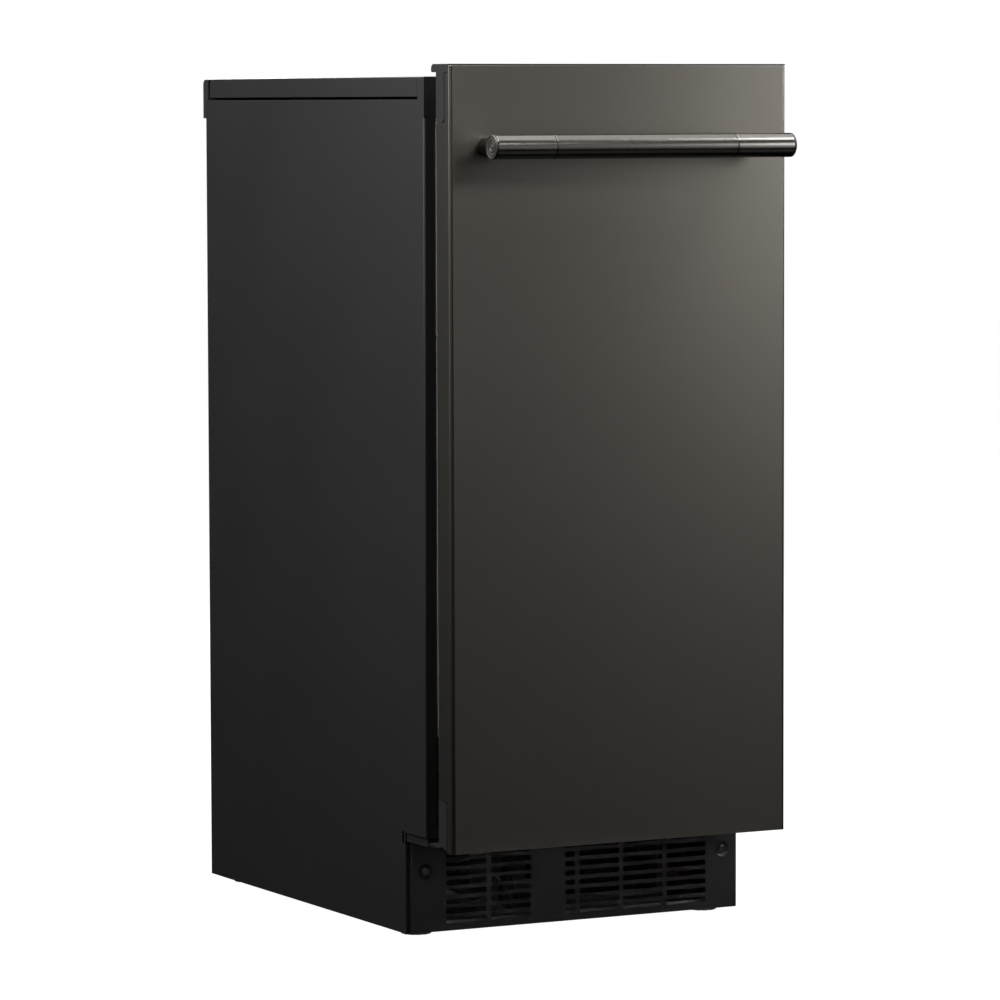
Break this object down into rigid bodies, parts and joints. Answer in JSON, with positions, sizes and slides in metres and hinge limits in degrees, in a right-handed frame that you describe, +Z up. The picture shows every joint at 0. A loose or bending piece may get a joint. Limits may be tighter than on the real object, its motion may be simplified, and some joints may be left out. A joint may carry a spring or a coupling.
{
  "type": "ice maker",
  "caption": "Under-counter clear-ice maker: dark stainless door with bar handle, black steel cabinet, slotted toe grille, ice bin, water and refrigeration parts.",
  "frame": {"origin": "on the floor, under the middle of the overall width and depth", "axes": "+X to the right seen from the front, +Y to the rear, +Z up; the door faces -Y"},
  "size_m": [0.378, 0.636, 0.869],
  "materials": {
    "casing_steel": "satin black powder coat",
    "zinc_steel": "zinc-plated sheet",
    "door_metal": "fine brushed dark stainless",
    "handle_metal": "satin dark stainless",
    "cap_plastic": "fine-textured moulding",
    "foam": "rigid polyurethane foam",
    "liner_plastic": "smooth formed liner",
    "black_plastic": "moulded",
    "gasket_rubber": "soft extruded seal",
    "grille_steel": "matt black powder coat",
    "screw_steel": "zinc-plated",
    "fin_aluminium": "bare fins",
    "copper": "drawn copper",
    "steel_black": "gloss black enamel",
    "bright_steel": "fine brushed stainless",
    "brass_fitting": "machined",
    "clear_hose": "translucent hose",
    "wire": "resistance wire",
    "grey_plastic": "moulded",
    "scoop_plastic": "moulded",
    "board": "circuit board",
    "bush_plastic": "acetal"
  },
  "bodies": {
    "cabinet": {"base_pan": "zinc_steel", "bin_liner": "liner_plastic", "bottom_hinge_bracket": "casing_steel", "cabinet_foam": "foam", "casing_screws": "screw_steel", "compressor": "steel_black", "compressor_grommets": "gasket_rubber", "condenser_core": "fin_aluminium", "condenser_tube": "steel_black", "control_box": "steel_black", "control_panel": "black_plastic", "cord_bushing": "black_plastic", "cutter_grid_frame": "grey_plastic", "cutter_grid_wires": "wire", "drain_hose": "clear_hose", "drain_outlet": "black_plastic", "evaporator_coil": "copper", "evaporator_hangers": "grey_plastic", "evaporator_plate": "bright_steel", "fan_motor": "steel_black", "fan_shroud": "zinc_steel", "filter_drier": "copper", "grille_screws": "screw_steel", "hot_gas_valve": "brass_fitting", "lower_front_panel": "casing_steel", "pump_hose": "clear_hose", "pump_housing": "black_plastic", "rear_cap": "black_plastic", "rear_panel": "zinc_steel", "refrigerant_lines": "copper", "scoop_holder": "grey_plastic", "side_panel_left": "casing_steel", "side_panel_right": "casing_steel", "switch_board": "board", "toe_grille": "grille_steel", "top_cover": "casing_steel", "top_hinge_bracket": "casing_steel", "water_distributor": "grey_plastic", "water_inlet_valve": "brass_fitting", "water_reservoir": "grey_plastic"},
    "door": {"door_end_cap_bottom": "cap_plastic", "door_end_cap_top": "cap_plastic", "door_foam": "foam", "door_gasket": "gasket_rubber", "door_liner": "black_plastic", "door_outer_panel": "door_metal", "handle_bar": "handle_metal", "handle_bolts": "screw_steel", "handle_posts": "handle_metal", "handle_sleeves": "handle_metal", "hinge_bushes": "bush_plastic"},
    "condenser_fan": {"fan_blade": "black_plastic"},
    "impeller": {"pump_impeller": "grey_plastic"},
    "scoop": {"ice_scoop": "scoop_plastic"},
    "power_button": {"button_power": "grey_plastic"},
    "clean_button": {"button_clean": "grey_plastic"},
    "leg_1": {"levelling_leg_1": "screw_steel"},
    "leg_2": {"levelling_leg_2": "screw_steel"},
    "leg_3": {"levelling_leg_3": "screw_steel"},
    "leg_4": {"levelling_leg_4": "screw_steel"}
  },
  "joints": [
    {"name": "door_hinge", "type": "hinge", "parent": "cabinet", "child": "door", "pos_m": [0.178, -0.244, 0.5], "axis": [0, 0, 1], "range_deg": [0, 110]},
    {"name": "fan_spin", "type": "hinge", "parent": "cabinet", "child": "condenser_fan", "pos_m": [0.045, -0.084, 0.086], "axis": [0, 1, 0], "continuous": true},
    {"name": "impeller_spin", "type": "hinge", "parent": "cabinet", "child": "impeller", "pos_m": [0.122, 0.06, 0.669], "axis": [0, 0, 1], "continuous": true},
    {"name": "scoop_lift", "type": "slide", "parent": "cabinet", "child": "scoop", "axis": [0, 0, 1], "range_m": [0, 0.036]},
    {"name": "power_press", "type": "slide", "parent": "cabinet", "child": "power_button", "axis": [0, 1, 0], "range_m": [0, 0.0012], "stiffness_N_per_m": 600, "springref_m": -0.0005},
    {"name": "clean_press", "type": "slide", "parent": "cabinet", "child": "clean_button", "axis": [0, 1, 0], "range_m": [0, 0.0012], "stiffness_N_per_m": 600, "springref_m": -0.0005},
    {"name": "leg_1_extend", "type": "slide", "parent": "cabinet", "child": "leg_1", "axis": [0, 0, -1], "range_m": [0, 0.025]},
    {"name": "leg_2_extend", "type": "slide", "parent": "cabinet", "child": "leg_2", "axis": [0, 0, -1], "range_m": [0, 0.025]},
    {"name": "leg_3_extend", "type": "slide", "parent": "cabinet", "child": "leg_3", "axis": [0, 0, -1], "range_m": [0, 0.025]},
    {"name": "leg_4_extend", "type": "slide", "parent": "cabinet", "child": "leg_4", "axis": [0, 0, -1], "range_m": [0, 0.025]}
  ]
}
